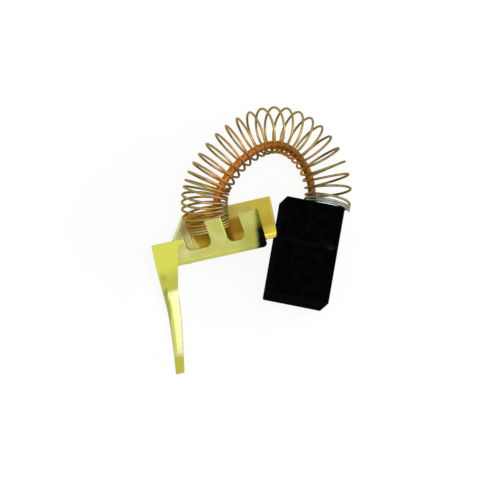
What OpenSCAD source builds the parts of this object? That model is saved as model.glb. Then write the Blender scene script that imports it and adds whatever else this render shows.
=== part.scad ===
// Carbon brush with a coil pressure spring, a braided shunt lead and a folded brass terminal clip.
// The block lies on its broad face: origin at the middle of that face, +Y towards the spring, +Z up.
// The spring leaves the block's rear end, arches over to the left and ends in the clip's channel.

/* [Carbon block] */
// Width of the block across its broad face
block_w = 12.5; // [9:0.1:18]
// Length of the block from its contact end to its rear end
block_l = 20.8; // [14:0.1:30]
// Thickness of the block
block_t = 10; // [7:0.1:14]
// Chamfer along the block's edges
block_chamfer = 0.25; // [0.1:0.05:0.6]
// Distance from the rear end to the line scored across the top face
score_from_rear = 9; // [4:0.1:11]
// Width of the scored line
score_w = 0.4; // [0.2:0.05:0.8]
// Depth of the scored line
score_depth = 0.15; // [0.05:0.05:0.3]

/* [Shunt lead] */
// Diameter of the braided lead
lead_d = 1.7; // [1:0.1:2.4]
// Depth of the lead's hole in the block's rear end
lead_hole_depth = 6; // [4:0.5:9]
// Width of the ring of tamped powder around the lead
tamping_w = 0.9; // [0.5:0.1:1.4]
// Distance of the lead from the spring's centre line where it leaves the block
lead_inset_block = 3.5; // [2:0.1:3.6]
// Distance of the lead from the spring's centre line where it nears the clip
lead_inset_clip = 2.4; // [1:0.1:3]
// Length of lead that ends below the coils, above its weld on the clip's floor
lead_drop = 2.4; // [1.5:0.1:3]

/* [Pressure spring] */
// Outer diameter of the coils
spring_od = 9.9; // [8:0.1:12]
// Diameter of the spring wire
wire_d = 0.5; // [0.3:0.05:0.7]
// Open turns between the closed ends
open_turns = 27; // [20:1:32]
// Closed turns at the block
block_turns = 2; // [1:1:3]
// Closed turns in the clip
clip_turns = 3; // [1:1:4]
// Distance by which the coils draw in towards their end in the clip
end_taper = 0.8; // [0:0.1:1.2]
// Distance of the spring's seat from the block's centre line
spring_shift = 3; // [0:0.1:4]
// Height of the spring's first closed turn above the outside of the clip's floor
spring_seat_h = 6.6; // [6:0.1:7.5]

/* [Terminal clip] */
// Thickness of the brass sheet
sheet_t = 0.6; // [0.4:0.05:0.9]
// Length of the clip's channel
clip_l = 20; // [19:0.1:28]
// Height of the front wall's tabs
front_h = 8.2; // [7:0.1:11]
// Height of the back wall
back_h = 8.6; // [7:0.1:12]
// Height of the leg's plate at the left of the front wall
plate_h = 5.4; // [4.5:0.1:6.5]
// Outside radius of the channel's two bends
bend_r = 1; // [0.9:0.05:1.4]
// Outside radius of the bend where the floor turns up into the left wall
left_bend_r = 3; // [1:0.1:4]
// Distance from the left end of the channel to the first slot
slot_from_left = 2.9; // [2:0.1:4]
// Width of the first slot, in front of the spring
slot_1_w = 5.6; // [4:0.1:6.5]
// Width of the tab between the slots
tab_w = 3.6; // [2.5:0.1:5]
// Width of the second slot
slot_2_w = 3.9; // [3:0.1:4.8]
// Height of the slots' floors
slot_floor = 2.7; // [2:0.1:4]
// Radius of the slots' floor corners
slot_r = 1.3; // [0.5:0.1:1.4]
// Distance by which the tabs lean to the left at their tops
tab_lean = 0.4; // [0:0.1:0.8]
// Radius of the front wall's lower right corner
corner_r = 1.1; // [0.4:0.1:1.8]
// Shortening of the back wall at its top
back_short_top = 0.3; // [0:0.1:1]
// Shortening of the back wall at the bottom
back_short_bottom = 1; // [0.5:0.1:2.5]
// Shortening of the floor between the two bends
floor_short = 3; // [1:0.1:5]
// Clearance between the spring's end turns and each wall of the channel
grip_gap = 0.15; // [0.05:0.05:0.4]
// Gap between the left wall and the spring's end turns
spring_from_left = 1.4; // [1:0.05:2]

/* [Terminal leg] */
// Length of the leg below the channel
leg_l = 22; // [16:0.5:28]
// Distance that the leg's plate stands out to the left of the channel
plate_w = 4.4; // [3.5:0.1:6]
// Width of the leg where it leaves the plate
leg_root_w = 3.5; // [2.5:0.1:3.9]
// Width of the leg at its tip
leg_tip_w = 1.8; // [1.2:0.1:2.5]
// Distance by which the leg's tip lies further to the left than its root
leg_sweep = 1.9; // [0:0.1:3]
// Height of the ridge pressed along the leg
ridge_h = 0.45; // [0.2:0.05:0.7]
// Length of the flat tab at the leg's tip
tip_l = 3.5; // [2:0.1:5]

/* [Hidden] */
$fn = 64;

// Clearance kept between pieces that are tamped, wound or set against each other
touch_gap = 0.02;
// Overlap that joins the parts of one folded or pressed piece
join = 0.3;

// Carbon block and the lead's socket
rear_y = block_l / 2;
lead_z = block_t / 2;
plug_d = lead_d + 2 * tamping_w;
// Powder below the end of the lead
powder_floor = 1;

// The clip's attitude as it lies on the table, and its own directions: along, up and out of the front wall
clip_turn = [16, -29, 20];
clip_u = [
    cos(clip_turn.y) * cos(clip_turn.z),
    cos(clip_turn.y) * sin(clip_turn.z),
    -sin(clip_turn.y)
];
clip_v = [
    sin(clip_turn.x) * sin(clip_turn.y) * cos(clip_turn.z) - cos(clip_turn.x) * sin(clip_turn.z),
    sin(clip_turn.x) * sin(clip_turn.y) * sin(clip_turn.z) + cos(clip_turn.x) * cos(clip_turn.z),
    sin(clip_turn.x) * cos(clip_turn.y)
];
clip_n = cross(clip_u, clip_v);

// The channel's depth over both walls; the rounded rear corner of its left end lies on the table
channel_d = spring_od + 2 * grip_gap + 2 * sheet_t;
function bend_out(v, r) = r - sqrt(max(0, r * r - pow(max(0, r - v), 2)));
function heel_z(v) =
    bend_out(v, left_bend_r) * clip_u.z + v * clip_v.z + (bend_out(v, bend_r) - channel_d) * clip_n.z;
heel_drop = -min([for (v = [0 : 0.01 : left_bend_r]) heel_z(v)]);
// The clip lies beside the block: distances from the block's side to the channel and along its length
clip_beside = 8.35;
clip_along = 19;
clip_at = [-block_w / 2 - clip_beside - channel_d, rear_y - clip_along, heel_drop];
function clip_point(u, v, n) = clip_at + u * clip_u + v * clip_v + n * clip_n;

// Spring: centre line through its two seats and the points of the arch between them
coil_r = (spring_od - wire_d) / 2;
closed_pitch = wire_d + 0.05;
taper_turns = clip_turns + 2;
seat_z = max(lead_z, spring_od / 2 + touch_gap);
block_seat = [spring_shift, rear_y + wire_d / 2 + touch_gap + block_turns * closed_pitch, seat_z];
clip_seat = clip_point(sheet_t + spring_from_left + spring_od / 2, spring_seat_h, -channel_d / 2);

// Points of the arch, measured from the block's centre line, its rear end and the height of the seat
arch_points = [
    [1, 7.7, 0.5],
    [-3.7, 12.1, 2.3],
    [-9.3, 13.3, 4.7],
    [-14.7, 11.3, 6.7],
    [-19.5, 6.6, 6.9],
    [-22.5, 0.9, 6.8],
    [-23.2, -2.8, 6.3],
    [-22.7, -6, 5.2]
];
arch = [for (p = arch_points) p + [0, rear_y, seat_z]];
arch_last = len(arch) - 1;
spans = len(arch) + 1;
// Pull of the straight ends on the arch, as twice the distance that they run on
block_pull = 14;
clip_pull = 4.5;
knots = concat(
    [arch[0] - [0, block_pull, 0], block_seat],
    arch,
    [clip_seat, arch[arch_last] - clip_pull * clip_v]
);

function unit(a) = a / norm(a);
function smooth_curve(a, b, c, d, t) =
    b + (c - a) * t / 2 + (2 * a - 5 * b + 4 * c - d) * t * t / 2 + (3 * b - a - 3 * c + d) * t * t * t / 2;

// Centre line of the spring after a number of open turns, counted from the block's closed turns
function spring_axis(turn) =
    turn < 0 ? block_seat + [0, closed_pitch * turn, 0]
    : turn > open_turns ? clip_seat - closed_pitch * (turn - open_turns) * clip_v
    : let (along = turn * spans / open_turns, i = min(floor(along), spans - 1))
        smooth_curve(knots[i], knots[i + 1], knots[i + 2], knots[i + 3], along - i);

// Direction of the centre line, the outer side of the arch and the upper side of the coils
probe = 0.02;
function axis_dir(turn) = unit(spring_axis(turn + probe) - spring_axis(turn - probe));
function outer_side(turn) = unit(cross(axis_dir(turn), [0, 0, 1]));
function coil_radial(turn) =
    let (out = outer_side(turn), up = cross(out, axis_dir(turn)))
        cos(360 * turn) * out + sin(360 * turn) * up;
function taper(turn) = end_taper * max(0, 1 - (open_turns + clip_turns - turn) / taper_turns);
function wire_at(turn) = spring_axis(turn) + (coil_r - taper(turn)) * coil_radial(turn);

// Rings of points around a curve and the faces of the tube that they span
function ring(centre, dir, across, r, sides) =
    let (x = unit(across - (across * dir) * dir), y = cross(dir, x))
        [for (i = [0 : sides - 1]) centre + r * (cos(360 * i / sides) * x + sin(360 * i / sides) * y)];
function tube_faces(rings, sides) = concat(
    [for (i = [1 : sides - 2]) [0, i, i + 1]],
    [for (j = [0 : rings - 2], i = [0 : sides - 1], half = [0, 1])
        let (a = j * sides + i, b = j * sides + (i + 1) % sides)
            half == 0 ? [a, a + sides, b + sides] : [a, b + sides, b]],
    [for (i = [1 : sides - 2]) [0, i + 1, i] + (rings - 1) * sides * [1, 1, 1]]
);

// Shunt lead: from its socket, along the inside of the arch and down to its weld on the clip's floor
lead_sides = 10;
lead_side_gap = 0.1;
coil_room = spring_od / 2 - wire_d - lead_d / 2 - lead_side_gap;
// The weld lies a little to the right of the spring's seat and further back
lead_weld_u = sheet_t + spring_from_left + spring_od / 2 + 1.4;
lead_weld_n = -channel_d / 2 - 0.5;
function lead_inset(share) = min(coil_room, lead_inset_block + (lead_inset_clip - lead_inset_block) * share);
function beside_axis(share) =
    spring_axis(share * open_turns) - lead_inset(share) * outer_side(share * open_turns);
lead_route = concat(
    [for (y = [powder_floor - lead_hole_depth, -2, 0, 0.4]) [0, rear_y + y, lead_z]],
    [for (share = [0.05 : 0.05 : 0.99]) beside_axis(share)],
    [for (v = [lead_drop, sheet_t + touch_gap]) clip_point(lead_weld_u, v, lead_weld_n)]
);
lead_last = len(lead_route) - 1;
lead_steps = 3;
function lead_knot(i) =
    i < 0 ? 2 * lead_route[0] - lead_route[1]
    : i > lead_last ? 2 * lead_route[lead_last] - lead_route[lead_last - 1]
    : lead_route[i];
function lead_at(along) =
    let (i = min(floor(along), lead_last - 1))
        smooth_curve(lead_knot(i - 1), lead_knot(i), lead_knot(i + 1), lead_knot(i + 2), along - i);
function lead_dir(along) =
    unit(lead_at(min(along + probe, lead_last)) - lead_at(max(along - probe, 0)));

// Terminal clip: slots and tabs along the front wall
slot_1_u = slot_from_left;
slot_2_u = slot_1_u + slot_1_w + tab_w;

// Leg: stations from the plate to the tip, each with its height, left edge, right edge and ridge
leg_root_v = -4;
ridge_from = 0.3;
leg_left = -plate_w - 0.25;
function leg_edge(v) = leg_left - leg_sweep * pow(max(0, leg_root_v * 2 - v) / (leg_l + leg_root_v * 2), 1.3);
function leg_width(v) = leg_root_w + (leg_tip_w - leg_root_w) * pow((leg_root_v - v) / (leg_l + leg_root_v), 0.7);
tip_v = tip_l - leg_l;
tip_left = leg_edge(-leg_l);
// The tip is set back until its rear corner lies on the table
tip_set_back = max(0, (clip_at.z + tip_left * clip_u.z - leg_l * clip_v.z) / clip_n.z - sheet_t);
leg_stations = concat(
    [[leg_root_v, 0, 0], [leg_root_v - 0.6, 0, 0]],
    [for (share = [0 : 0.2 : 1]) [leg_root_v - 2 + (tip_v - leg_root_v + 2.6) * share, ridge_h, 0]],
    [[tip_v, 0, 0], [-leg_l, 0, tip_set_back]]
);
function leg_section(station) =
    let (
        v = station[0],
        left = leg_edge(v),
        right = left + leg_width(v),
        top = left + ridge_from * leg_width(v),
        front = -station[2],
        crest = front + station[1]
    ) [
        [top, v, crest], [left, v, front], [left, v, front - sheet_t],
        [top, v, crest - sheet_t], [right, v, front - sheet_t], [right, v, front]
    ];

// Box with chamfered edges, standing on z = 0
module chamfered_box(w, l, t, c) {
    module face(a, b) {
        polygon([
            [c - a / 2, -b / 2], [a / 2 - c, -b / 2], [a / 2, c - b / 2], [a / 2, b / 2 - c],
            [a / 2 - c, b / 2], [c - a / 2, b / 2], [-a / 2, b / 2 - c], [-a / 2, c - b / 2]
        ]);
    }
    translate([0, 0, t / 2])
        intersection() {
            linear_extrude(t, center = true) face(w, l);
            rotate([90, 0, 0]) linear_extrude(l, center = true) face(w, t);
            rotate([90, 0, 90]) linear_extrude(w, center = true) face(l, t);
        }
}

// Pressed carbon: chamfered edges, a blind socket for the lead and a line scored across the top
module carbon_block() {
    color("#17171a")
        difference() {
            chamfered_box(block_w, block_l, block_t, block_chamfer);
            translate([0, rear_y - lead_hole_depth, lead_z])
                rotate([-90, 0, 0])
                    cylinder(h = lead_hole_depth + join, d = plug_d + 2 * touch_gap);
            translate([-block_w / 2 - join, rear_y - score_from_rear - score_w / 2, block_t - score_depth])
                cube([block_w + 2 * join, score_w, score_depth + join]);
        }
}

// Copper powder tamped into the socket around the end of the lead
module tamping_plug() {
    color("#9c5a34")
        translate([0, rear_y - lead_hole_depth, lead_z])
            rotate([-90, 0, 0])
                difference() {
                    cylinder(h = lead_hole_depth, d = plug_d);
                    translate([0, 0, powder_floor - touch_gap])
                        cylinder(h = lead_hole_depth, d = lead_d + 4 * touch_gap);
                }
}

// Braided copper lead
module shunt_lead() {
    stops = [for (j = [0 : lead_last * lead_steps]) j / lead_steps];
    color("#c0652c")
        polyhedron(
            points = [for (s = stops) each ring(lead_at(s), lead_dir(s), [0, 0, 1], lead_d / 2, lead_sides)],
            faces = tube_faces(len(stops), lead_sides),
            convexity = 10
        );
}

// Compression spring with closed ends, bent over into an arch
module pressure_spring() {
    turn_steps = 16;
    wire_sides = 6;
    turns = block_turns + open_turns + clip_turns;
    stops = [for (j = [0 : turns * turn_steps]) j / turn_steps - block_turns];
    color("#a8895a")
        polyhedron(
            points = [for (s = stops)
                each ring(
                    wire_at(s), unit(wire_at(s + probe) - wire_at(s - probe)), coil_radial(s), wire_d / 2, wire_sides
                )],
            faces = tube_faces(len(stops), wire_sides),
            convexity = 30
        );
}

// Rectangle from the origin with its two lower corners rounded
module rounded_base(w, h, r) {
    translate([0, r]) square([w, h - r]);
    translate([r, 0]) square([w - 2 * r, h]);
    for (x = [r, w - r]) translate([x, r]) circle(r);
}

// Section across the channel: front wall at the origin, floor, back wall
module channel_section() {
    difference() {
        rounded_base(channel_d, back_h, bend_r);
        translate([sheet_t, sheet_t]) rounded_base(channel_d - 2 * sheet_t, back_h, bend_r - sheet_t);
    }
}

// Slot open at the top, with round floor corners and sides that lean to the left
module slot(u, w) {
    top = back_h + join;
    polygon([
        [u + slot_r, slot_floor], [u + w - slot_r, slot_floor], [u + w, slot_floor + slot_r],
        [u + w - tab_lean, top], [u - tab_lean, top], [u, slot_floor + slot_r]
    ]);
    for (x = [u + slot_r, u + w - slot_r]) translate([x, slot_floor + slot_r]) circle(slot_r);
}

// What is cut away from the front wall, seen from the front
module front_cuts() {
    slot(slot_1_u, slot_1_w);
    slot(slot_2_u, slot_2_w);
    translate([-join, plate_h]) square([slot_1_u + join, back_h]);
    translate([0, front_h]) square([clip_l + join, back_h]);
    translate([clip_l, 0]) mirror([1, 0]) corner_cut(corner_r);
}

// Quarter round to be cut away from a lower left corner at the origin
module corner_cut(r) {
    difference() {
        translate([-join, -join]) square(r + join);
        translate([r, r]) circle(r);
    }
}

// Section along the channel's left end: wall, round foot and the start of the floor
module left_section() {
    intersection() {
        square([left_bend_r, back_h]);
        difference() {
            rounded_base(3 * left_bend_r, back_h, left_bend_r);
            translate([sheet_t, sheet_t]) rounded_base(3 * left_bend_r, back_h, left_bend_r - sheet_t);
        }
    }
}

// What is cut away from the back wall, seen from the front
module back_cuts() {
    corner_cut(left_bend_r);
    polygon([
        [clip_l - back_short_bottom, -join], [clip_l - back_short_top, back_h + join],
        [clip_l + join, back_h + join], [clip_l + join, -join]
    ]);
}

// Leg with a ridge pressed along it and a flat tab at its tip
module leg() {
    sections = [for (station = leg_stations) each leg_section(station)];
    polyhedron(points = sections, faces = tube_faces(len(leg_stations), 6), convexity = 6);
}

// One folded strip of brass: channel, left wall, plate and leg
module terminal_clip() {
    color("#d2c65a")
        translate(clip_at)
            rotate(clip_turn) {
                difference() {
                    rotate([0, 90, 0]) linear_extrude(clip_l) channel_section();
                    translate([0, 0, -sheet_t - join]) linear_extrude(sheet_t + 2 * join) front_cuts();
                    translate([0, 0, -channel_d - join])
                        linear_extrude(channel_d - sheet_t) back_cuts();
                    translate([clip_l - floor_short, -join, bend_r - channel_d])
                        cube([floor_short + join, bend_r + join, channel_d - 2 * bend_r]);
                }
                intersection() {
                    translate([0, 0, -channel_d]) linear_extrude(channel_d) left_section();
                    rotate([0, 90, 0])
                        linear_extrude(left_bend_r)
                            polygon([
                                [sheet_t * 0.9, 0], [channel_d - sheet_t * 0.9, 0],
                                [channel_d - sheet_t * 0.9, back_h], [sheet_t * 0.9, plate_h]
                            ]);
                }
                translate([0, 0, -sheet_t])
                    linear_extrude(sheet_t)
                        polygon([
                            [-plate_w, plate_h], [leg_left, 0.7], [leg_left, leg_root_v - join],
                            [leg_left + leg_root_w - 0.1, leg_root_v - join], [0, 0], [join, bend_r], [join, plate_h]
                        ]);
                leg();
            }
}

carbon_block();
tamping_plug();
shunt_lead();
pressure_spring();
terminal_clip();
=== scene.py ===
"""Looks of the carbon brush: camera, light, materials, round spring wire, braided lead and softened edges."""
import math

import bmesh
import bpy
from mathutils import Matrix, Vector


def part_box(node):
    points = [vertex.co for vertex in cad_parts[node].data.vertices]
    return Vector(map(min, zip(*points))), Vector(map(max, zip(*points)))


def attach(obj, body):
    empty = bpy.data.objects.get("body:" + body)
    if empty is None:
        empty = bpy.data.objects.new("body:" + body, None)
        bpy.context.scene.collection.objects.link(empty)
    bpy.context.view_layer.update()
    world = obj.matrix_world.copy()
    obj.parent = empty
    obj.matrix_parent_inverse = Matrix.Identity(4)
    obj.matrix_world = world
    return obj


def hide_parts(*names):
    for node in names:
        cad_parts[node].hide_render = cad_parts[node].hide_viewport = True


# Lengths are in millimetres and angles in degrees, unless a name ends in _M, for metres
MM = 0.001
X_AXIS = Vector((1, 0, 0))
Y_AXIS = Vector((0, 1, 0))
Z_AXIS = Vector((0, 0, 1))

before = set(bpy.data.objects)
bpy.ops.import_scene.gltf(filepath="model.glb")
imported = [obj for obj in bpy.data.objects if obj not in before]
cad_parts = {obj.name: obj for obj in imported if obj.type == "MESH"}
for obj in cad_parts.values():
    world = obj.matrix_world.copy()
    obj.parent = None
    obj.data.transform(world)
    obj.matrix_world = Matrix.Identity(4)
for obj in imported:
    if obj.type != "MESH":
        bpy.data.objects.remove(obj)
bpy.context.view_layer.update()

# Block, from the frame, with the line scored across its top
block_low, block_high = (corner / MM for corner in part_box("carbon_block"))
BLOCK_W = block_high.x - block_low.x
BLOCK_L = block_high.y - block_low.y
BLOCK_T = block_high.z
REAR_Y = block_high.y
BLOCK_REAR = Vector((0, REAR_Y, 0))
SCORE_FROM_REAR = 9.0
SCORE_Y = REAR_Y - SCORE_FROM_REAR

# Spring: closed turns on the block and in the clip, open turns between them, and a tapered end in the clip
SPRING_OD = 9.9
WIRE_D = 0.5
COIL_R = (SPRING_OD - WIRE_D) / 2
OPEN_TURNS = 27
BLOCK_TURNS = 2
CLIP_TURNS = 3
TURN_GAP = 0.05
CLOSED_PITCH = WIRE_D + TURN_GAP
TAPER_TURNS = CLIP_TURNS + 2
END_TAPER = 0.8
SPRING_SHIFT = 3.0
SPRING_FROM_LEFT = 1.4
SPRING_SEAT_H = 6.6
TOUCH_GAP = 0.02

# Clip: its sheet, channel and bends, where its front wall's lower left corner lies, and how it is turned
# about x, y and z
SHEET_T = 0.6
GRIP_GAP = 0.15
CHANNEL_D = SPRING_OD + 2 * GRIP_GAP + 2 * SHEET_T
BEND_R = 1.0
LEFT_BEND_R = 3.0
CLIP_X = -26.0
CLIP_FROM_REAR = 19.0
CLIP_ANGLES = (16, -29, 20)
ABOUT_X, ABOUT_Y, ABOUT_Z = (Matrix.Rotation(math.radians(a), 3, axis) for a, axis in zip(CLIP_ANGLES, "XYZ"))
CLIP_ROTATION = ABOUT_Z @ ABOUT_Y @ ABOUT_X
CLIP_U, CLIP_V, CLIP_N = (CLIP_ROTATION.col[i].copy() for i in range(3))
HEEL_STEP = 0.01


def bend_out(v, r):
    """How far a bend of radius r still stands in from the sheet's outside at a height v."""
    return r - math.sqrt(max(0.0, r * r - max(0.0, r - v) ** 2))


def heel_z(v):
    """Level of the clip's round lower corner at a height v up its walls, before it stands on the floor."""
    return bend_out(v, LEFT_BEND_R) * CLIP_U.z + v * CLIP_V.z + (bend_out(v, BEND_R) - CHANNEL_D) * CLIP_N.z


HEEL_DROP = -min(heel_z(HEEL_STEP * i) for i in range(round(LEFT_BEND_R / HEEL_STEP) + 1))
CLIP_AT = Vector((CLIP_X, REAR_Y - CLIP_FROM_REAR, HEEL_DROP))


def clip_point(u, v, n):
    """Place of a point given along, up and out of the clip's front wall."""
    return CLIP_AT + u * CLIP_U + v * CLIP_V + n * CLIP_N


# Points of the spring's arch, from the block's centre line, its rear end and the height of the seat
ARCH_POINTS = [
    (1, 7.7, 0.5), (-3.7, 12.1, 2.3), (-9.3, 13.3, 4.7), (-14.7, 11.3, 6.7),
    (-19.5, 6.6, 6.9), (-22.5, 0.9, 6.8), (-23.2, -2.8, 6.3), (-22.7, -6, 5.2),
]
BLOCK_PULL = 14.0
CLIP_PULL = 4.5
SEAT_Z = max(BLOCK_T / 2, SPRING_OD / 2 + TOUCH_GAP)
SEAT_U = SHEET_T + SPRING_FROM_LEFT + SPRING_OD / 2
BLOCK_SEAT = Vector((SPRING_SHIFT, REAR_Y + WIRE_D / 2 + TOUCH_GAP + BLOCK_TURNS * CLOSED_PITCH, SEAT_Z))
CLIP_SEAT = clip_point(SEAT_U, SPRING_SEAT_H, -CHANNEL_D / 2)
ARCH = [Vector(p) + Vector((0, REAR_Y, SEAT_Z)) for p in ARCH_POINTS]
KNOTS = [ARCH[0] - BLOCK_PULL * Y_AXIS, BLOCK_SEAT, *ARCH, CLIP_SEAT, ARCH[-1] - CLIP_PULL * CLIP_V]
SPANS = len(ARCH) + 1
PROBE = 0.02


def smooth_curve(a, b, c, d, t):
    """Point between b and c on the smooth curve through a, b, c and d."""
    return b + (c - a) * t / 2 + (2 * a - 5 * b + 4 * c - d) * t**2 / 2 + (3 * b - a - 3 * c + d) * t**3 / 2


def spring_axis(turn):
    """Centre line of the spring after a number of open turns."""
    if turn < 0:
        return BLOCK_SEAT + Vector((0, CLOSED_PITCH * turn, 0))
    if turn > OPEN_TURNS:
        return CLIP_SEAT - CLOSED_PITCH * (turn - OPEN_TURNS) * CLIP_V
    along = turn * SPANS / OPEN_TURNS
    i = min(int(along), SPANS - 1)
    return smooth_curve(*KNOTS[i:i + 4], along - i)


def axis_frame(turn):
    """Direction of the centre line, the outer side of the arch and the upper side of the coils."""
    direction = (spring_axis(turn + PROBE) - spring_axis(turn - PROBE)).normalized()
    out = direction.cross(Z_AXIS).normalized()
    return direction, out, out.cross(direction)


def coil_radial(turn):
    """Direction from the centre line to the wire."""
    _, out, up = axis_frame(turn)
    return math.cos(math.tau * turn) * out + math.sin(math.tau * turn) * up


def wire_at(turn):
    """Centre of the wire, drawn in by the taper at the clip's end."""
    taper = END_TAPER * max(0.0, 1 - (OPEN_TURNS + CLIP_TURNS - turn) / TAPER_TURNS)
    return spring_axis(turn) + (COIL_R - taper) * coil_radial(turn)


# Meshes

def new_object(name, data):
    made = bpy.data.objects.new(name, data)
    bpy.context.scene.collection.objects.link(made)
    return made


def ring(centre, direction, across, half_w, half_t, sides):
    """Oval ring of points around a curve, half_w along across and half_t square to it."""
    x = (across - across.dot(direction) * direction).normalized()
    y = direction.cross(x)
    angles = [math.tau * i / sides for i in range(sides)]
    return [centre + half_w * math.cos(a) * x + half_t * math.sin(a) * y for a in angles]


class MeshParts:
    """Collects tubes into one mesh."""

    def __init__(self):
        self.points = []
        self.faces = []

    def tube(self, rings):
        """Closed tube through rings of points."""
        start, sides = len(self.points), len(rings[0])
        self.points += [p * MM for r in rings for p in r]
        for j in range(len(rings) - 1):
            for i in range(sides):
                a = start + j * sides + i
                b = start + j * sides + (i + 1) % sides
                self.faces.append((a, b, b + sides, a + sides))
        self.faces.append(tuple(range(start + sides - 1, start - 1, -1)))
        last = start + (len(rings) - 1) * sides
        self.faces.append(tuple(range(last, last + sides)))

    def make(self, name):
        mesh = bpy.data.meshes.new(name)
        mesh.from_pydata(self.points, [], self.faces)
        mesh.polygons.foreach_set("use_smooth", [True] * len(mesh.polygons))
        return new_object(name, mesh)


def add_piece(piece, node, material):
    """Puts a new piece in a CAD node's place."""
    piece.data.materials.clear()
    piece.data.materials.append(material)
    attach(piece, "root")
    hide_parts(node)


# Camera

CAMERA_AZIMUTH = -35.94
CAMERA_ELEVATION = 77.6
CAMERA_ROLL = 46.5
CAMERA_TARGET = Vector((-13.93, -0.23, 7.38))
CAMERA_DISTANCE = 3000.0
FRAME_WIDTH = 99.38
SENSOR_WIDTH = 36.0
SIGHT_FROM_M = 0.1
SIGHT_TO_M = 20.0


def camera_axes():
    """Directions of the view: to its right, up, and back to the camera."""
    a, e, r = (math.radians(x) for x in (CAMERA_AZIMUTH, CAMERA_ELEVATION, CAMERA_ROLL))
    back = Vector((math.sin(a) * math.cos(e), -math.cos(a) * math.cos(e), math.sin(e)))
    level = Vector((math.cos(a), math.sin(a), 0))
    rise = back.cross(level)
    right = math.cos(r) * level + math.sin(r) * rise
    return right, back.cross(right), back


VIEW_RIGHT, VIEW_UP, VIEW_BACK = camera_axes()


def add_camera():
    data = bpy.data.cameras.new("camera")
    data.sensor_width = SENSOR_WIDTH
    data.lens = data.sensor_width * CAMERA_DISTANCE / FRAME_WIDTH
    data.clip_start = SIGHT_FROM_M
    data.clip_end = SIGHT_TO_M
    camera = new_object("camera", data)
    turn = Matrix((VIEW_RIGHT, VIEW_UP, VIEW_BACK)).transposed()
    place = (CAMERA_TARGET + CAMERA_DISTANCE * VIEW_BACK) * MM
    camera.matrix_world = Matrix.Translation(place) @ turn.to_4x4()
    bpy.context.scene.camera = camera


# Materials

class Graph:
    """Short names for building one material's nodes, in the object's own coordinates in millimetres."""

    def __init__(self, name):
        self.material = bpy.data.materials.new(name)
        self.material.use_nodes = True
        self.tree = self.material.node_tree
        self.bsdf = self.tree.nodes["Principled BSDF"]
        scaled = self.node("ShaderNodeVectorMath", operation="SCALE")
        self.set(scaled.inputs[0], self.node("ShaderNodeTexCoord").outputs["Object"])
        scaled.inputs["Scale"].default_value = 1 / MM
        self.place = scaled.outputs[0]

    def node(self, kind, **settings):
        made = self.tree.nodes.new(kind)
        for key, value in settings.items():
            setattr(made, key, value)
        return made

    def set(self, socket, value):
        if isinstance(value, bpy.types.NodeSocket):
            self.tree.links.new(value, socket)
        else:
            socket.default_value = value

    def calc(self, operation, a, b=0.0):
        made = self.node("ShaderNodeMath", operation=operation)
        self.set(made.inputs[0], a)
        self.set(made.inputs[1], b)
        return made.outputs[0]

    def plus(self, a, b):
        return self.calc("ADD", a, b)

    def minus(self, a, b):
        return self.calc("SUBTRACT", a, b)

    def times(self, product, *factors):
        for factor in factors:
            product = self.calc("MULTIPLY", product, factor)
        return product

    def along(self, axis, origin=Vector((0, 0, 0))):
        """Distance of the shaded point along an axis from an origin."""
        made = self.node("ShaderNodeVectorMath", operation="DOT_PRODUCT")
        self.set(made.inputs[0], self.place)
        made.inputs[1].default_value = axis
        return self.minus(made.outputs["Value"], origin.dot(axis))

    def step(self, value, low, high):
        """Smooth step from 0 at low to 1 at high; low may be the larger."""
        made = self.node("ShaderNodeMapRange", interpolation_type="SMOOTHSTEP")
        rising = high > low
        self.set(made.inputs["Value"], value)
        made.inputs["From Min"].default_value = low if rising else high
        made.inputs["From Max"].default_value = high if rising else low
        made.inputs["To Min"].default_value = 0.0 if rising else 1.0
        made.inputs["To Max"].default_value = 1.0 if rising else 0.0
        return made.outputs["Result"]

    def into_fold(self, a, b, radius):
        """Distance inwards from two outer faces, a and b away, that meet in a fold of this radius."""
        short_a = self.calc("MAXIMUM", self.minus(radius, a), 0.0)
        short_b = self.calc("MAXIMUM", self.minus(radius, b), 0.0)
        squares = self.plus(self.times(short_a, short_a), self.times(short_b, short_b))
        return self.minus(radius, self.calc("SQRT", squares))

    def near(self, centre, reach):
        """1 around a centre, falling smoothly to 0 at its reach along each axis."""
        away = self.node("ShaderNodeVectorMath", operation="SUBTRACT")
        self.set(away.inputs[0], self.place)
        away.inputs[1].default_value = centre
        share = self.node("ShaderNodeVectorMath", operation="DIVIDE")
        self.set(share.inputs[0], away.outputs[0])
        share.inputs[1].default_value = reach
        length = self.node("ShaderNodeVectorMath", operation="LENGTH")
        self.set(length.inputs[0], share.outputs[0])
        return self.step(length.outputs["Value"], 1.0, 0.1)

    def noise(self, scale, detail=3.0):
        """Noise from 0 to 1 with features of about 1 / scale millimetres."""
        made = self.node("ShaderNodeTexNoise")
        self.set(made.inputs["Vector"], self.place)
        made.inputs["Scale"].default_value = scale
        made.inputs["Detail"].default_value = detail
        return made.outputs["Fac"]

    def mix(self, share, a, b):
        """Colour a with a share of colour b."""
        made = self.node("ShaderNodeMix", data_type="RGBA")
        self.set(made.inputs["Factor"], share)
        self.set(made.inputs[6], (*a, 1) if isinstance(a, tuple) else a)
        self.set(made.inputs[7], (*b, 1) if isinstance(b, tuple) else b)
        return made.outputs[2]

    def bump(self, height, distance):
        made = self.node("ShaderNodeBump")
        made.inputs["Strength"].default_value = 1.0
        made.inputs["Distance"].default_value = distance * MM
        self.set(made.inputs["Height"], height)
        self.set(self.bsdf.inputs["Normal"], made.outputs["Normal"])

    def finish(self, **sockets):
        for name, value in sockets.items():
            socket = self.bsdf.inputs[name.replace("_", " ").title().replace("Ior", "IOR")]
            self.set(socket, (*value, 1) if isinstance(value, tuple) else value)
        return self.material


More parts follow.
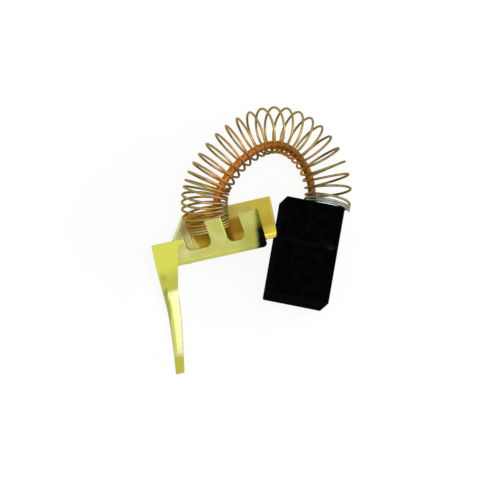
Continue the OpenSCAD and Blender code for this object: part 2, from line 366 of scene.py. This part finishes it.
CARBON_DEEP = (0.0008, 0.0009, 0.0012)
CARBON_LIGHT = (0.0022, 0.0025, 0.0028)
CARBON_GRAIN = (0.0045, 0.0050, 0.0053)
CARBON_EDGE_LIGHTER = (0.005, 0.0053, 0.006)
CARBON_SCORED = (0.0032, 0.0036, 0.0036)
CARBON_SMEARED = (0.012, 0.0135, 0.0125)
SMEAR_X = 4.7
SMEAR_REACH = Vector((1.2, 0.8, 1.0))


def carbon():
    """Pressed carbon: black and dull, with faint mottling, lighter edges and a greyer scored line."""
    g = Graph("carbon")
    x = g.along(X_AXIS)
    y = g.along(Y_AXIS)
    z = g.along(Z_AXIS)
    to_side = g.minus(BLOCK_W / 2, g.calc("ABSOLUTE", x))
    to_end = g.minus(BLOCK_L / 2, g.calc("ABSOLUTE", y))
    to_flat = g.calc("MINIMUM", z, g.minus(BLOCK_T, z))
    nearest = g.calc("MINIMUM", to_side, to_end)
    farthest = g.calc("MAXIMUM", to_side, to_end)
    to_edge = g.calc("MAXIMUM", nearest, g.calc("MINIMUM", farthest, to_flat))
    ragged = g.plus(to_edge, g.times(g.noise(2.5), -0.35))
    lighter_edge = g.step(ragged, 0.2, -0.1)
    grain = g.noise(9.0, 4.0)
    cloud = g.noise(0.6, 4.0)
    top = g.step(z, BLOCK_T - 0.6, BLOCK_T - 0.2)
    from_score = g.calc("ABSOLUTE", g.minus(y, SCORE_Y))
    score = g.times(g.step(from_score, 0.6, 0.1), top, g.step(cloud, 0.25, 0.55))
    smear = g.near(Vector((SMEAR_X, SCORE_Y, BLOCK_T)), SMEAR_REACH)
    smear = g.times(smear, g.step(g.noise(1.8, 3.0), 0.3, 0.6))
    colour = g.mix(g.step(cloud, 0.4, 0.7), CARBON_DEEP, CARBON_LIGHT)
    colour = g.mix(g.times(g.step(grain, 0.58, 0.8), 0.6), colour, CARBON_GRAIN)
    colour = g.mix(g.times(lighter_edge, 0.6), colour, CARBON_EDGE_LIGHTER)
    colour = g.mix(score, colour, CARBON_SCORED)
    colour = g.mix(smear, colour, CARBON_SMEARED)
    g.bump(g.plus(grain, g.noise(3.0, 2.0)), 0.03)
    rough = g.plus(0.55, g.times(grain, 0.2))
    return g.finish(base_color=colour, roughness=rough, specular_ior_level=0.0003)


# Middle of the arch as it lies, from which the wire's colours spread
ARCH_CENTRE = Vector((-10.5, 9.5, 0))

WIRE_OLIVE = (0.28, 0.24, 0.075)
WIRE_GOLDEN = (0.43, 0.245, 0.065)
WIRE_OUTER = (0.33, 0.27, 0.09)
WIRE_COPPER = (0.42, 0.20, 0.04)
WIRE_BROWN = (0.10, 0.07, 0.015)
WIRE_INNERMOST = (0.17, 0.14, 0.06)
WIRE_STREAK = (0.18, 0.12, 0.035)
WIRE_SHEEN = (0.85, 0.7, 0.38)
CLIP_WIRE_COPPER = (0.39, 0.175, 0.03)
CLIP_WIRE_GOLDEN = (0.38, 0.24, 0.05)
CLIP_WIRE_RIGHT = (0.27, 0.25, 0.14)
CLIP_WIRE_CLOSED = (0.50, 0.40, 0.13)
SEAT_WIRE_GREY = (0.23, 0.26, 0.21)
SEAT_WIRE_WARM = (0.34, 0.32, 0.22)


def clip_wire(g, tone, u, v):
    """Wire in the clip: copper and golden, greyer on its right, pale in the closed turns."""
    colour = g.mix(g.step(tone, 0.4, 0.65), CLIP_WIRE_COPPER, CLIP_WIRE_GOLDEN)
    colour = g.mix(g.step(u, 9.5, 11.5), colour, CLIP_WIRE_RIGHT)
    return g.mix(g.step(v, 6.8, 6.0), colour, CLIP_WIRE_CLOSED)


def spring_wire():
    """Drawn wire: olive and golden, copper inside the arch, browner on its right, grey on the block."""
    g = Graph("spring_wire")
    x = g.along(X_AXIS)
    tone = g.noise(0.5, 3.0)
    fine = g.noise(6.0, 3.0)
    flat_x = g.along(X_AXIS, ARCH_CENTRE)
    flat_y = g.along(Y_AXIS, ARCH_CENTRE)
    radius = g.calc("SQRT", g.plus(g.times(flat_x, flat_x), g.times(flat_y, flat_y)))
    radius = g.plus(radius, g.times(g.minus(tone, 0.5), 4.0))
    colour = g.mix(g.step(tone, 0.42, 0.58), WIRE_OLIVE, WIRE_GOLDEN)
    colour = g.mix(g.times(g.step(radius, 14.5, 17.0), 0.6), colour, WIRE_OUTER)
    colour = g.mix(g.step(radius, 12.0, 10.2), colour, WIRE_COPPER)
    colour = g.mix(g.times(g.step(x, -6.0, 2.0), 0.65), colour, WIRE_BROWN)
    colour = g.mix(g.step(radius, 9.4, 8.6), colour, WIRE_INNERMOST)
    u = g.along(CLIP_U, CLIP_AT)
    v = g.along(CLIP_V, CLIP_AT)
    by_clip = g.times(g.step(v, 13.0, 9.0), g.step(u, 14.0, 13.0))
    colour = g.mix(by_clip, colour, clip_wire(g, tone, u, v))
    colour = g.mix(g.times(g.step(fine, 0.5, 0.8), 0.5), colour, WIRE_STREAK)
    from_block = g.along(Y_AXIS, BLOCK_REAR)
    on_block = g.times(g.step(from_block, 2.6, 1.0), g.step(x, -4.0, -2.0))
    grey = g.mix(g.step(x, 4.5, 7.5), SEAT_WIRE_GREY, SEAT_WIRE_WARM)
    colour = g.mix(g.times(on_block, 0.95), colour, grey)
    g.bump(fine, 0.01)
    rough = g.plus(0.3, g.times(fine, 0.2))
    return g.finish(base_color=colour, metallic=0.95, roughness=rough, specular_tint=WIRE_SHEEN)


STRAND_LIGHT = (0.53, 0.185, 0.034)
STRAND_LIGHT_RIGHT = (0.29, 0.125, 0.022)
STRAND_DEEP = (0.44, 0.135, 0.02)
STRAND_DEEP_RIGHT = (0.21, 0.085, 0.012)
STRAND_TARNISH = (0.15, 0.06, 0.016)
STRAND_BY_BLOCK = (0.13, 0.07, 0.03)
STRAND_SHEEN = (0.9, 0.6, 0.3)


def copper_braid():
    """Bare copper strands: orange brown, deeper on the right, with dark tarnish in spots, and darker by the
    block.
    """
    g = Graph("copper_braid")
    x = g.along(X_AXIS)
    tone = g.noise(0.8, 3.0)
    fine = g.noise(8.0, 2.0)
    to_right = g.step(x, -16.0, -8.0)
    light = g.mix(to_right, STRAND_LIGHT, STRAND_LIGHT_RIGHT)
    deep = g.mix(to_right, STRAND_DEEP, STRAND_DEEP_RIGHT)
    colour = g.mix(g.step(tone, 0.3, 0.7), deep, light)
    colour = g.mix(g.times(g.step(fine, 0.45, 0.75), 0.6), colour, STRAND_TARNISH)
    from_block = g.along(Y_AXIS, BLOCK_REAR)
    by_block = g.times(g.step(from_block, 6.0, 1.5), g.step(x, -4.0, -2.0))
    colour = g.mix(g.times(by_block, 0.6), colour, STRAND_BY_BLOCK)
    g.bump(fine, 0.015)
    rough = g.plus(0.34, g.times(fine, 0.2))
    return g.finish(base_color=colour, metallic=0.95, roughness=rough, specular_tint=STRAND_SHEEN)


POWDER_DEEP = (0.16, 0.07, 0.035)
POWDER_LIGHT = (0.42, 0.19, 0.09)


def copper_powder():
    """Tamped copper powder: dull brown and grainy."""
    g = Graph("copper_powder")
    grain = g.noise(12.0, 4.0)
    g.bump(grain, 0.05)
    colour = g.mix(grain, POWDER_DEEP, POWDER_LIGHT)
    return g.finish(base_color=colour, metallic=0.8, roughness=0.7)


class ClipGraph(Graph):
    """Material of the clip, with the place along, up and out of its front wall."""

    def __init__(self, name):
        super().__init__(name)
        self.u = self.along(CLIP_U, CLIP_AT)
        self.v = self.along(CLIP_V, CLIP_AT)
        self.n = self.along(CLIP_N, CLIP_AT)
        self.cloud = self.noise(0.35, 3.0)
        self.fine = self.noise(3.0, 4.0)


WALL_DEEP = (0.475, 0.475, 0.125)
WALL_LIGHT = (0.54, 0.54, 0.17)
WALL_FOOT = (0.60, 0.60, 0.09)
WALL_RIGHT = (0.36, 0.35, 0.065)
WALL_PALE = (0.62, 0.60, 0.28)


def front_wall(g):
    """Front wall: paler by the first slot, yellower along its lower edge, darker to the right."""
    colour = g.mix(g.step(g.cloud, 0.3, 0.7), WALL_DEEP, WALL_LIGHT)
    colour = g.mix(g.times(g.step(g.v, 1.8, 0.4), 0.6), colour, WALL_FOOT)
    right_end = g.times(g.step(g.u, 13.0, 17.0), g.step(g.v, 7.5, 3.5))
    colour = g.mix(g.times(right_end, 0.75), colour, WALL_RIGHT)
    pale = g.near(clip_point(2.4, 2.2, 0), Vector((2.0, 2.0, 2.0)))
    return g.mix(g.times(pale, g.step(g.fine, 0.35, 0.6)), colour, WALL_PALE)


# Leg: on the way down its left edge drifts left and its width shrinks, and its ridge lies at a share of
# the width
LEG_LEFT = -4.65
LEG_DRIFT = 1.9
LEG_DRIFT_FROM_V = -8.0
LEG_DRIFT_SPAN = 14.0
LEG_DRIFT_POWER = 1.3
LEG_W = 3.5
LEG_NARROWING = 1.7
LEG_NARROWING_FROM_V = -4.0
LEG_NARROWING_SPAN = 18.0
LEG_NARROWING_POWER = 0.7
RIDGE_SHARE = 0.3
RIDGE_FROM_V = -4.6
TIP_V = -18.5


def way_down(g, from_v, span):
    """0 above a height, rising to 1 over a span below it."""
    return g.calc("MAXIMUM", 0.0, g.calc("DIVIDE", g.minus(from_v, g.v), span))


def ridge_line(g):
    """Where the leg's ridge lies along the clip at the shaded point's height."""
    drift = g.calc("POWER", way_down(g, LEG_DRIFT_FROM_V, LEG_DRIFT_SPAN), LEG_DRIFT_POWER)
    left = g.minus(LEG_LEFT, g.times(LEG_DRIFT, drift))
    narrowing = g.calc("POWER", way_down(g, LEG_NARROWING_FROM_V, LEG_NARROWING_SPAN), LEG_NARROWING_POWER)
    width = g.minus(LEG_W, g.times(LEG_NARROWING, narrowing))
    return g.plus(left, g.times(RIDGE_SHARE, width))


PLATE_UPPER = (0.64, 0.65, 0.10)
PLATE_LOWER = (0.49, 0.48, 0.075)
# Painted shade left of the leg's ridge, painted light and highlights on its right flank, and painted shade on
# its tip
FLANK_LEFT_SHADE = (0.38, 0.40, 0.075)
FLANK_RIGHT_LIGHT = (0.62, 0.63, 0.18)
FLANK_HIGHLIGHT = (0.64, 0.61, 0.33)
FLANK_ONSET_HIGHLIGHT = (0.84, 0.83, 0.40)
LEG_TIP_SHADE = (0.48, 0.46, 0.06)
# Painted shadows of two small dents in the plate and the leg
PLATE_DENT_SHADE = (0.42, 0.38, 0.06)
LEG_DIMPLE_SHADE = (0.27, 0.28, 0.035)


def left_of_crease(g):
    """1 on the plate and the leg, and 0 on the front wall right of the crease."""
    crease = g.minus(g.u, g.times(g.calc("MAXIMUM", g.v, 0.0), 0.28))
    crease = g.minus(crease, g.times(g.step(g.v, 4.3, 4.9), 2.0))
    return g.step(crease, 0.2, -0.15)


def plate_and_leg(g):
    """Plate and leg: painted light and a painted highlight along the right flank of the ridge, painted shade
    left of it and on the tip, and painted shadows of two dents.
    """
    colour = g.mix(g.step(g.v, 1.0, -3.0), PLATE_UPPER, PLATE_LOWER)
    from_ridge = g.minus(g.u, ridge_line(g))
    spread = g.plus(from_ridge, g.times(g.step(g.v, -8.0, -12.0), 0.5))
    # Painted shade left of the ridge and painted light right of it, with a painted highlight further right
    # and at the ridge's upper end
    flank_light_and_shade = g.mix(g.step(spread, -0.15, 0.2), FLANK_LEFT_SHADE, FLANK_RIGHT_LIGHT)
    flank_light_and_shade = g.mix(g.step(from_ridge, 0.3, 1.3), flank_light_and_shade, FLANK_HIGHLIGHT)
    onset_highlight = g.times(g.step(g.v, -6.6, -5.6), g.step(from_ridge, 0.0, 0.3))
    flank_light_and_shade = g.mix(onset_highlight, flank_light_and_shade, FLANK_ONSET_HIGHLIGHT)
    colour = g.mix(g.step(g.v, RIDGE_FROM_V + 0.3, RIDGE_FROM_V - 0.5), colour, flank_light_and_shade)
    # Painted shade on the tip
    colour = g.mix(g.step(g.v, TIP_V + 0.3, TIP_V - 0.1), colour, LEG_TIP_SHADE)
    # Painted shadows of two small dents, on the plate and at the top of the leg
    dent_shade = g.near(clip_point(-3.6, -1.6, 0), Vector((1.1, 1.3, 1.1)))
    colour = g.mix(g.times(dent_shade, 0.8), colour, PLATE_DENT_SHADE)
    dimple_shade = g.near(clip_point(-3.9, -4.6, 0), Vector((0.7, 1.3, 0.9)))
    return g.mix(g.times(dimple_shade, 0.8), colour, LEG_DIMPLE_SHADE)


# Inside the channel: a painted reflection above the rim, and painted shade and reflection of the copper below
# it
INSIDE_UPPER_REFLECTION = (0.86, 0.82, 0.21)
INSIDE_LOWER_SHADE = (0.56, 0.32, 0.035)
INSIDE_RIGHT = (0.74, 0.60, 0.075)
INSIDE_CLOUD = (0.66, 0.42, 0.05)
INSIDE_FRONT = (0.60, 0.42, 0.05)
BACK_SHADED = (0.10, 0.045, 0.01)
# Painted highlight low on the back wall
BACK_LOW_HIGHLIGHT = (0.92, 0.74, 0.10)
# Painted shadow of the spring and painted light below it, on the back wall's left part
BACK_LEFT_SPRING_SHADE = (0.46, 0.31, 0.045)
BACK_LEFT_LOWER_LIGHT = (0.86, 0.62, 0.085)
# Painted light on the left wall and its round foot
LEFT_FOOT_LIGHT = (0.97, 0.93, 0.40)
LEFT_WALL_LIGHT = (0.97, 0.99, 0.52)


def within_channel(g):
    """1 on the faces that look into the channel, and 0 on the front and on the outer skin."""
    behind_front = g.step(g.n, -SHEET_T, -SHEET_T - 0.3)
    into_left = g.into_fold(g.u, g.v, LEFT_BEND_R)
    into_back = g.into_fold(g.v, g.plus(g.n, CHANNEL_D), BEND_R)
    return g.times(behind_front, g.step(g.calc("MINIMUM", into_left, into_back), 0.2, 0.45))


def channel_inside(g, back, left):
    """Inside: golden with a painted reflection above, browner with painted shade on the back wall below its
    rim, with a painted shadow under the spring and painted highlights low on the back wall, and bright with
    painted light on the left wall and its round foot.
    """
    # Painted reflection above the rim, painted shade below it
    colour = g.mix(g.step(g.v, 6.6, 5.2), INSIDE_UPPER_REFLECTION, INSIDE_LOWER_SHADE)
    colour = g.mix(g.step(g.u, 13.0, 17.0), colour, INSIDE_RIGHT)
    colour = g.mix(g.times(g.step(g.cloud, 0.4, 0.6), 0.35), colour, INSIDE_CLOUD)
    colour = g.mix(g.step(g.n, -8.0, -6.0), colour, INSIDE_FRONT)
    shaded = g.times(g.step(g.u, 10.2, 8.6), g.step(g.v, 6.0, 4.5), back)
    colour = g.mix(g.times(shaded, 0.75), colour, BACK_SHADED)
    # Painted highlight low on the back wall by the second slot
    low = g.times(g.step(g.v, 3.2, 1.8), g.step(g.u, 9.4, 10.4), back)
    colour = g.mix(low, colour, BACK_LOW_HIGHLIGHT)
    # Painted shadow of the spring and painted light below it, on the back wall by the first slot
    back_left_light_and_shade = g.mix(g.step(g.v, 3.4, 1.6), BACK_LEFT_SPRING_SHADE, BACK_LEFT_LOWER_LIGHT)
    colour = g.mix(g.times(g.step(g.u, 6.0, 4.0), back), colour, back_left_light_and_shade)
    # Painted light on the left wall's round foot and on the left wall
    colour = g.mix(left, colour, LEFT_FOOT_LIGHT)
    return g.mix(g.step(g.u, 1.0, 0.65), colour, LEFT_WALL_LIGHT)


# Painted shadow under the back wall's lower right end
LOWER_RIM_SHADOW = (0.06, 0.05, 0.02)
# Painted shade on the cut edges
CUT_EDGE_SHADE = (0.22, 0.21, 0.04)
WORN = (0.36, 0.32, 0.07)
# Painted dark reflection and shade at the front wall's right end, thin at the top and black at the foot
WEDGE_SHADE_THIN = (0.15, 0.15, 0.022)
WEDGE_SHADE_BLACK = (0.0015, 0.0020, 0.0015)


def wedge_shade_share(g):
    """1 at the right end of the front wall, behind a slanting ragged edge, where a dark reflection and shade
    are painted.
    """
    slant = g.minus(g.u, g.times(g.v, 0.21))
    edge = g.plus(slant, g.times(g.noise(0.9, 2.0), 0.8))
    return g.times(g.step(edge, 17.6, 19.0), g.step(g.n, -SHEET_T - 0.4, -SHEET_T))


def brass_sheet():
    """Stamped brass: pale front wall, yellow plate and leg, golden inside, black at the lower right, with
    painted light and shade on the leg, inside the channel, on the rims and cut edges, and a painted dark
    reflection and shade at the lower right.
    """
    g = ClipGraph("brass_sheet")
    colour = g.mix(left_of_crease(g), front_wall(g), plate_and_leg(g))
    back = g.step(g.n, -9.0, -10.0)
    foot = g.plus(g.u, g.times(g.v, 0.36))
    left = g.calc("MAXIMUM", g.step(foot, 2.75, 2.4), g.step(g.u, 1.1, 0.75))
    within = within_channel(g)
    colour = g.mix(within, colour, channel_inside(g, back, left))

    # Painted shadow under the back wall's lower right end, painted shade on the cut edges, wear, and a
    # painted dark reflection and shade at the right end that is thin at the top and black at the foot
    lower_rim_shadow = g.times(g.step(g.v, 0.6, 0.3), g.step(g.u, 18.5, 19.5), back)
    colour = g.mix(lower_rim_shadow, colour, LOWER_RIM_SHADOW)
    cut_shade = g.times(g.step(g.n, -0.05, -0.15), g.step(g.n, -0.6, -0.5), g.step(g.v, 1.4, 2.0))
    colour = g.mix(g.times(cut_shade, 0.8), colour, CUT_EDGE_SHADE)
    colour = g.mix(g.times(g.step(g.fine, 0.55, 0.75), 0.2), colour, WORN)
    wedge_shade = wedge_shade_share(g)
    colour = g.mix(wedge_shade, colour, g.mix(g.step(g.v, 6.5, 3.6), WEDGE_SHADE_THIN, WEDGE_SHADE_BLACK))

    # Less of a mirror inside the channel, and none under the painted dark reflection and shade
    mirror = g.minus(1.0, g.times(within, g.plus(0.7, g.times(left, 0.2))))
    metal = g.times(mirror, g.minus(1.0, wedge_shade))
    rough = g.plus(g.plus(0.26, g.times(g.fine, 0.18)), g.times(wedge_shade, 0.4))
    g.bump(g.plus(g.noise(1.2, 3.0), g.times(g.fine, 0.3)), 0.03)
    return g.finish(base_color=colour, metallic=metal, roughness=rough, specular_ior_level=0.03)


# Spring

WIRE_STEPS = 24
WIRE_SIDES = 10


def add_spring():
    turns = BLOCK_TURNS + OPEN_TURNS + CLIP_TURNS
    rings = []
    for j in range(turns * WIRE_STEPS + 1):
        turn = j / WIRE_STEPS - BLOCK_TURNS
        direction = (wire_at(turn + PROBE) - wire_at(turn - PROBE)).normalized()
        rings.append(ring(wire_at(turn), direction, coil_radial(turn), WIRE_D / 2, WIRE_D / 2, WIRE_SIDES))
    parts = MeshParts()
    parts.tube(rings)
    add_piece(parts.make("pressure_spring_wire"), "pressure_spring", spring_wire())


# Lead: how far it lies inside the spring's centre line, its way out of the socket, and its weld in the clip
LEAD_D = 1.7
LEAD_CLEARANCE = 0.1
LEAD_ROOM = SPRING_OD / 2 - WIRE_D - LEAD_D / 2 - LEAD_CLEARANCE
LEAD_INSET_BLOCK = 3.5
LEAD_INSET_CLIP = 2.4
LEAD_SHARE = 0.05
SOCKET_KNOTS = (-5, -2, 0, 0.4)
LEAD_DROP = 2.4
WELD_ALONG = 1.4
WELD_BACK = 0.5
KNOT_STEPS = 40

# Braid: flat strands wound both ways around a core
STRANDS = 8
BRAID_PITCH = 6.5
BRAID_STEP = 0.26
STRAND_HALF_W = 0.24
STRAND_HALF_T = 0.1
STRAND_SIDES = 6
CORE_SIDES = 10
WEAVE = 0.06


def lead_route():
    """Knots of the lead: out of its socket, along the inside of the arch and down to its weld."""
    knots = [Vector((0, REAR_Y + y, BLOCK_T / 2)) for y in SOCKET_KNOTS]
    for i in range(1, round(1 / LEAD_SHARE)):
        share = LEAD_SHARE * i
        inset = min(LEAD_ROOM, LEAD_INSET_BLOCK + (LEAD_INSET_CLIP - LEAD_INSET_BLOCK) * share)
        knots.append(spring_axis(share * OPEN_TURNS) - inset * axis_frame(share * OPEN_TURNS)[1])
    for v in (LEAD_DROP, SHEET_T + TOUCH_GAP):
        knots.append(clip_point(SEAT_U + WELD_ALONG, v, -CHANNEL_D / 2 - WELD_BACK))
    return knots


def lead_line(step):
    """Evenly spaced points along the lead, a step apart."""
    knots = lead_route()
    full = [2 * knots[0] - knots[1], *knots, 2 * knots[-1] - knots[-2]]
    dense = []
    for i in range(len(knots) - 1):
        dense += [smooth_curve(*full[i:i + 4], t / KNOT_STEPS) for t in range(KNOT_STEPS)]
    dense.append(knots[-1])
    line, left = [dense[0]], step
    for a, b in zip(dense, dense[1:]):
        length = (b - a).length
        while length > 0 and left <= length:
            line.append(a.lerp(b, left / length))
            left += step
        left -= length
    return line


def directions(line):
    """Direction of a line at each of its points."""
    return [(b - a).normalized() for a, b in zip([line[0], *line[:-1]], [*line[1:], line[-1]])]


def strand(frames, way, k):
    """Rings of one flat strand that winds around the lead, over one strand and under the next."""
    middle = LEAD_D / 2 - STRAND_HALF_T - WEAVE
    centres, outs = [], []
    for i, (p, d, x) in enumerate(frames):
        turn = math.tau * i * BRAID_STEP / BRAID_PITCH
        angle = math.tau * k / STRANDS + way * turn
        out = math.cos(angle) * x + math.sin(angle) * d.cross(x)
        lift = way * WEAVE * math.cos(STRANDS * turn + math.pi * k)
        centres.append(p + (middle + lift) * out)
        outs.append(out)
    ways = zip(centres, directions(centres), outs)
    return [ring(c, d, d.cross(out), STRAND_HALF_W, STRAND_HALF_T, STRAND_SIDES) for c, d, out in ways]


def add_lead():
    line = lead_line(BRAID_STEP)
    frames = []
    across = Z_AXIS
    for p, direction in zip(line, directions(line)):
        across = (across - across.dot(direction) * direction).normalized()
        frames.append((p, direction, across))
    core_r = LEAD_D / 2 - 2 * STRAND_HALF_T - WEAVE
    parts = MeshParts()
    parts.tube([ring(p, d, x, core_r, core_r, CORE_SIDES) for p, d, x in frames])
    for way in (1, -1):
        for k in range(STRANDS):
            parts.tube(strand(frames, way, k))
    add_piece(parts.make("shunt_lead_braid"), "shunt_lead", copper_braid())


# Block, clip and plug

BLOCK_ROUNDING = 0.08
CLIP_ROUNDING = 0.1
CREST_ROUNDING = 0.45
CREST_N = 0.3
FLAT_ANGLE = 0.5
SHARP_ANGLE = 25
FIRST_MERGE = 0.08
LAST_MERGE = 0.01
SHORTEST_ROUNDED = 0.2
EVEN_NORMALS = 60


def on_crest(point):
    """Whether a point of the clip lies on the crest of the leg's ridge."""
    place = point / MM - CLIP_AT
    return TIP_V < place.dot(CLIP_V) < RIDGE_FROM_V and place.dot(CLIP_N) > CREST_N


def round_edges(form, edges, width, segments, profile):
    bmesh.ops.bevel(form, geom=edges, offset=width * MM, segments=segments, profile=profile, affect="EDGES")


def softened(node, name, width, crest=None):
    """Copy of a CAD node with its sharp edges rounded to a width, and its crest wider."""
    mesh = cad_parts[node].data.copy()
    mesh.name = name
    form = bmesh.new()
    form.from_mesh(mesh)
    bmesh.ops.remove_doubles(form, verts=form.verts, dist=FIRST_MERGE * MM)
    bmesh.ops.dissolve_limit(form, angle_limit=math.radians(FLAT_ANGLE), verts=form.verts, edges=form.edges)
    if crest is not None:
        along = [e for e in form.edges if all(crest(vert.co) for vert in e.verts)]
        round_edges(form, along, CREST_ROUNDING, segments=5, profile=0.5)
    folds = [e for e in form.edges if len(e.link_faces) == 2 and e.calc_length() > SHORTEST_ROUNDED * MM]
    sharp = [e for e in folds if e.calc_face_angle() > math.radians(SHARP_ANGLE)]
    round_edges(form, sharp, width, segments=2, profile=0.6)
    bmesh.ops.remove_doubles(form, verts=form.verts, dist=LAST_MERGE * MM)
    bmesh.ops.dissolve_degenerate(form, dist=LAST_MERGE * MM, edges=form.edges)
    for face in form.faces:
        face.smooth = True
    form.to_mesh(mesh)
    form.free()
    made = new_object(name, mesh)
    made.modifiers.new("even_normals", "WEIGHTED_NORMAL").weight = EVEN_NORMALS
    return made


def add_block():
    block = softened("carbon_block", "carbon_block_body", BLOCK_ROUNDING)
    add_piece(block, "carbon_block", carbon())


def add_clip():
    clip = softened("terminal_clip", "terminal_clip_sheet", CLIP_ROUNDING, on_crest)
    add_piece(clip, "terminal_clip", brass_sheet())


def add_plug():
    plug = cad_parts["tamping_plug"]
    plug.data.materials.clear()
    plug.data.materials.append(copper_powder())


# Floor, world and lamps

FLOOR_HALF_M = 4.0
FLOOR_COLOUR = (0.97, 0.97, 0.97, 1)
FLOOR_SHADE = 0.12
WORLD_COLOUR = (1, 1, 1, 1)
AMBIENT = 0.4

# Each lamp's name, its place in metres to the right, up and back from the camera's target, its size
# in metres and its power in watts
LAMPS = [
    ("key", (0.18, 0.11, 0.975), 0.55, 5.0),
    ("side", (0.93, 0.22, 0.3), 0.5, 4.0),
    ("glint", (-0.15, -0.33, 0.93), 0.35, 0.4),
]


def seen_directly(tree):
    """1 for camera, glossy and transmission rays, and 0 for the rest."""
    path = tree.nodes.new("ShaderNodeLightPath")
    total = path.outputs["Is Camera Ray"]
    for name in ("Is Glossy Ray", "Is Transmission Ray"):
        either = tree.nodes.new("ShaderNodeMath")
        either.operation = "MAXIMUM"
        tree.links.new(total, either.inputs[0])
        tree.links.new(path.outputs[name], either.inputs[1])
        total = either.outputs[0]
    return total


def floor_material():
    """White where it is seen directly, apart from a share of plain matt white that takes the shadow."""
    material = bpy.data.materials.new("floor")
    material.use_nodes = True
    tree = material.node_tree
    tree.nodes.remove(tree.nodes["Principled BSDF"])
    matt = tree.nodes.new("ShaderNodeBsdfDiffuse")
    matt.inputs["Color"].default_value = FLOOR_COLOUR
    glow = tree.nodes.new("ShaderNodeEmission")
    share = tree.nodes.new("ShaderNodeMath")
    share.operation = "MULTIPLY"
    tree.links.new(seen_directly(tree), share.inputs[0])
    share.inputs[1].default_value = 1 - FLOOR_SHADE
    mixed = tree.nodes.new("ShaderNodeMixShader")
    tree.links.new(share.outputs[0], mixed.inputs["Fac"])
    tree.links.new(matt.outputs[0], mixed.inputs[1])
    tree.links.new(glow.outputs[0], mixed.inputs[2])
    tree.links.new(mixed.outputs[0], tree.nodes["Material Output"].inputs["Surface"])
    return material


def add_floor():
    mesh = bpy.data.meshes.new("floor")
    square = ((-1, -1), (1, -1), (1, 1), (-1, 1))
    corners = [(x * FLOOR_HALF_M, y * FLOOR_HALF_M, -TOUCH_GAP * MM) for x, y in square]
    mesh.from_pydata(corners, [], [(0, 1, 2, 3)])
    mesh.materials.append(floor_material())
    floor = new_object("floor", mesh)


def add_world():
    """White where it is seen directly, and dimmer as a light."""
    world = bpy.data.worlds.new("studio")
    world.use_nodes = True
    tree = world.node_tree
    background = tree.nodes["Background"]
    background.inputs["Color"].default_value = WORLD_COLOUR
    level = tree.nodes.new("ShaderNodeMapRange")
    tree.links.new(seen_directly(tree), level.inputs["Value"])
    level.inputs["To Min"].default_value = AMBIENT
    level.inputs["To Max"].default_value = 1.0
    tree.links.new(level.outputs["Result"], background.inputs["Strength"])
    bpy.context.scene.world = world


def add_lamp(name, place, size, power):
    """Soft square lamp that points at the camera's target."""
    data = bpy.data.lights.new(name, "AREA")
    data.size = size
    data.energy = power
    lamp = new_object(name, data)
    right, up, back = place
    offset = right * VIEW_RIGHT + up * VIEW_UP + back * VIEW_BACK
    lamp.location = CAMERA_TARGET * MM + offset
    lamp.rotation_mode = "QUATERNION"
    lamp.rotation_quaternion = (-offset).to_track_quat("-Z", "Y")


add_camera()
add_world()
for lamp in LAMPS:
    add_lamp(*lamp)
add_floor()
add_block()
add_plug()
add_lead()
add_spring()
add_clip()

bpy.context.scene.view_settings.view_transform = "Standard"
